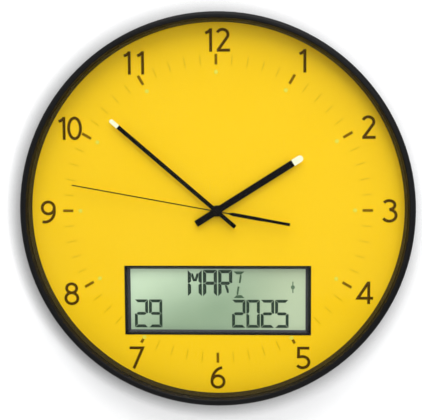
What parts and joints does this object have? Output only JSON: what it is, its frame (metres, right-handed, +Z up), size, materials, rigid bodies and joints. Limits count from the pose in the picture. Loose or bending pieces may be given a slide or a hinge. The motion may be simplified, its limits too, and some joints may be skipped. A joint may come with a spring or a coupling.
{
  "type": "wall clock with calendar",
  "caption": "Round black-rimmed wall clock with a yellow analogue dial, plain numerals, three hands and a rectangular liquid crystal calendar window below the centre.",
  "frame": {"origin": "top of the keyhole slot in the hanger plate, where the wall screw bears, in the wall's plane", "axes": "+Z up the wall, +X to the right as the dial is read, +Y into the wall, so the dial faces -Y"},
  "size_m": [0.301, 0.042, 0.301],
  "materials": {
    "rim_plastic": "moulded black, satin to gloss",
    "lens_glass": "clear flat glass",
    "inner_ring_plastic": "moulded black, satin",
    "dial_print": "yellow print on a thin plate",
    "inner_plastic": "moulded dark grey",
    "window_plastic": "moulded dark grey",
    "lcd_panel": "grey-green reflective display",
    "reflector_foil": "brushed foil",
    "strip_rubber": "layered conductive rubber",
    "circuit_board": "green solder resist",
    "chip_resin": "moulded epoxy",
    "capacitor_ceramic": "fired ceramic with tinned ends",
    "screw_steel": "zinc plated",
    "switch_plastic": "moulded black",
    "button_plastic": "moulded grey",
    "cover_plastic": "moulded black, fine texture",
    "cell_jacket": "plain printed jacket",
    "contact_steel": "nickel plated",
    "lead_sleeve": "wire insulation",
    "hanger_steel": "zinc plated sheet",
    "bumper_rubber": "soft pad",
    "movement_plastic": "moulded black",
    "pale_plastic": "moulded off-white",
    "stator_iron": "stamped soft iron",
    "coil_copper": "lacquered copper wire",
    "rotor_magnet": "moulded magnet",
    "gear_plastic": "moulded acetal",
    "knob_plastic": "moulded white",
    "crystal_can": "drawn can",
    "hand_paint": "black paint on aluminium",
    "lume": "pale luminous paint"
  },
  "bodies": {
    "case": {"front_frame": "rim_plastic", "lens": "lens_glass", "dial_ring": "inner_ring_plastic", "dial_plate": "dial_print", "dial_carrier": "inner_plastic", "window_frame": "window_plastic", "lcd_glass": "lcd_panel", "lcd_reflector": "reflector_foil", "contact_strips": "strip_rubber", "lcd_board": "circuit_board", "lcd_chip": "chip_resin", "board_capacitors": "capacitor_ceramic", "calendar_crystal": "crystal_can", "board_screws": "screw_steel", "tact_switches": "switch_plastic", "battery_cells": "cell_jacket", "battery_springs": "contact_steel", "battery_tabs": "contact_steel", "battery_leads": "lead_sleeve", "rear_cover": "cover_plastic", "cover_screws": "screw_steel", "hanger_plate": "hanger_steel", "hanger_screws": "screw_steel", "wall_bumpers": "bumper_rubber", "movement_lid": "movement_plastic", "movement_case": "movement_plastic", "train_bridge": "pale_plastic", "stator": "stator_iron", "coil_bobbin": "pale_plastic", "coil_winding": "coil_copper", "movement_board": "circuit_board", "quartz_crystal": "crystal_can", "movement_cell": "cell_jacket", "movement_contacts": "contact_steel"},
    "second": {"second_wheel": "gear_plastic", "second_hand": "hand_paint", "second_boss": "hand_paint"},
    "minute": {"minute_wheel": "gear_plastic", "minute_hand": "hand_paint", "minute_tip": "lume"},
    "hour": {"hour_wheel": "gear_plastic", "hour_hand": "hand_paint", "hour_tip": "lume"},
    "third": {"third_wheel": "gear_plastic"},
    "step": {"step_wheel": "gear_plastic"},
    "rotor": {"rotor": "rotor_magnet"},
    "motion": {"motion_wheel": "gear_plastic", "setting_knob": "knob_plastic"},
    "mode_key": {"button_mode": "button_plastic"},
    "set_key": {"button_set": "button_plastic"},
    "up_key": {"button_up": "button_plastic"},
    "down_key": {"button_down": "button_plastic"},
    "door": {"battery_door": "cover_plastic"}
  },
  "joints": [
    {"name": "second_spin", "type": "hinge", "parent": "case", "child": "second", "pos_m": [0, 0, -0.118], "axis": [0, 1, 0], "continuous": true},
    {"name": "minute_spin", "type": "hinge", "parent": "case", "child": "minute", "pos_m": [0, 0, -0.118], "axis": [0, 1, 0], "continuous": true},
    {"name": "hour_spin", "type": "hinge", "parent": "case", "child": "hour", "pos_m": [0, 0, -0.118], "axis": [0, 1, 0], "continuous": true},
    {"name": "third_spin", "type": "hinge", "parent": "case", "child": "third", "pos_m": [0.01005, 0, -0.11623], "axis": [0, 1, 0], "continuous": true},
    {"name": "step_spin", "type": "hinge", "parent": "case", "child": "step", "pos_m": [-0.00359, 0, -0.10813], "axis": [0, 1, 0], "continuous": true},
    {"name": "rotor_spin", "type": "hinge", "parent": "case", "child": "rotor", "pos_m": [-0.00775, 0, -0.10573], "axis": [0, 1, 0], "continuous": true},
    {"name": "motion_spin", "type": "hinge", "parent": "case", "child": "motion", "pos_m": [-0.00985, 0, -0.11974], "axis": [0, 1, 0], "continuous": true},
    {"name": "mode_press", "type": "slide", "parent": "case", "child": "mode_key", "axis": [0, -1, 0], "range_m": [0, 0.0008], "stiffness_N_per_m": 150},
    {"name": "set_press", "type": "slide", "parent": "case", "child": "set_key", "axis": [0, -1, 0], "range_m": [0, 0.0008], "stiffness_N_per_m": 150},
    {"name": "up_press", "type": "slide", "parent": "case", "child": "up_key", "axis": [0, -1, 0], "range_m": [0, 0.0008], "stiffness_N_per_m": 150},
    {"name": "down_press", "type": "slide", "parent": "case", "child": "down_key", "axis": [0, -1, 0], "range_m": [0, 0.0008], "stiffness_N_per_m": 150},
    {"name": "door_swing", "type": "hinge", "parent": "case", "child": "door", "pos_m": [0.082, -0.0043, -0.1328], "axis": [-1, 0, 0], "range_deg": [0, 95]}
  ],
  "couplings": [
    {"joint": "minute_spin", "follows": "second_spin", "ratio": 0.016667},
    {"joint": "hour_spin", "follows": "second_spin", "ratio": 0.0013889},
    {"joint": "third_spin", "follows": "second_spin", "ratio": -0.13333},
    {"joint": "step_spin", "follows": "second_spin", "ratio": -6},
    {"joint": "rotor_spin", "follows": "second_spin", "ratio": 30},
    {"joint": "motion_spin", "follows": "second_spin", "ratio": -0.0055556}
  ]
}
